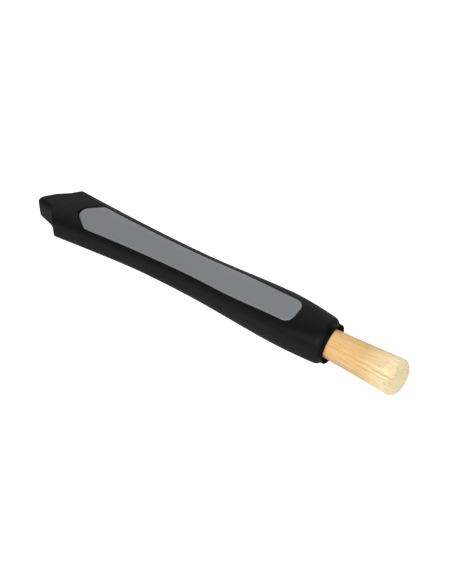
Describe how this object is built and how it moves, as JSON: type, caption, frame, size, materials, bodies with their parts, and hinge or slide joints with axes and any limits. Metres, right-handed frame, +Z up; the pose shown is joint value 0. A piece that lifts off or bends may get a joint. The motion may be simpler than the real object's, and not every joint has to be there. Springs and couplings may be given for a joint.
{
  "type": "lens cleaning pen",
  "caption": "Flat waisted cleaning pen with a grey inlay, a retractable round hair brush in the nose and an angled cleaning tip under a pull-off cap.",
  "frame": {"origin": "on the surface the pen lies on, under the middle of its overall length with the brush out and the cap on", "axes": "+X along the pen towards the brush, +Z up out of the face with the inlay, +Y across, towards the side on which the cap's angled end starts nearer the handle"},
  "size_m": [0.1484, 0.0193, 0.0163],
  "materials": {
    "soft_black": "soft-touch matt black",
    "inlay_grey": "matt grey, fine grain",
    "collar_black": "satin black",
    "slider_black": "satin black, ribbed",
    "inner_plastic": "moulded dark grey",
    "rubber_black": "matt",
    "steel": "bright, lightly brushed",
    "ferrule_dark": "dark grey, half gloss",
    "hair": "fine straight hair, paler at the tips",
    "resin": "amber, smooth",
    "foam": "fine open-cell foam",
    "chamois": "short matt nap"
  },
  "bodies": {
    "handle": {"handle_body": "soft_black", "access_cover": "inner_plastic", "cover_screws": "steel", "grip_inlay": "inlay_grey", "nose_collar": "collar_black", "nose_seal": "rubber_black", "end_plug": "inner_plastic", "plug_pin": "steel", "spigot_band": "rubber_black", "tip_stem": "inner_plastic", "tip_plate": "inner_plastic", "tip_foam": "foam", "tip_chamois": "chamois"},
    "brush": {"brush_ferrule": "ferrule_dark", "ferrule_pins": "steel", "brush_tuft": "hair", "tuft_plug": "resin", "brush_carriage": "inner_plastic", "detent_spring": "steel", "thumb_slider": "slider_black", "slider_screw": "steel"},
    "cap": {"cap_shell": "soft_black", "cap_liner": "inner_plastic", "cap_foam": "foam"}
  },
  "joints": [
    {"name": "brush_slide", "type": "slide", "parent": "handle", "child": "brush", "axis": [1, 0, 0], "range_m": [-0.024, 0]},
    {"name": "cap_pull", "type": "slide", "parent": "handle", "child": "cap", "axis": [-1, 0, 0], "range_m": [0, 0.03]}
  ]
}
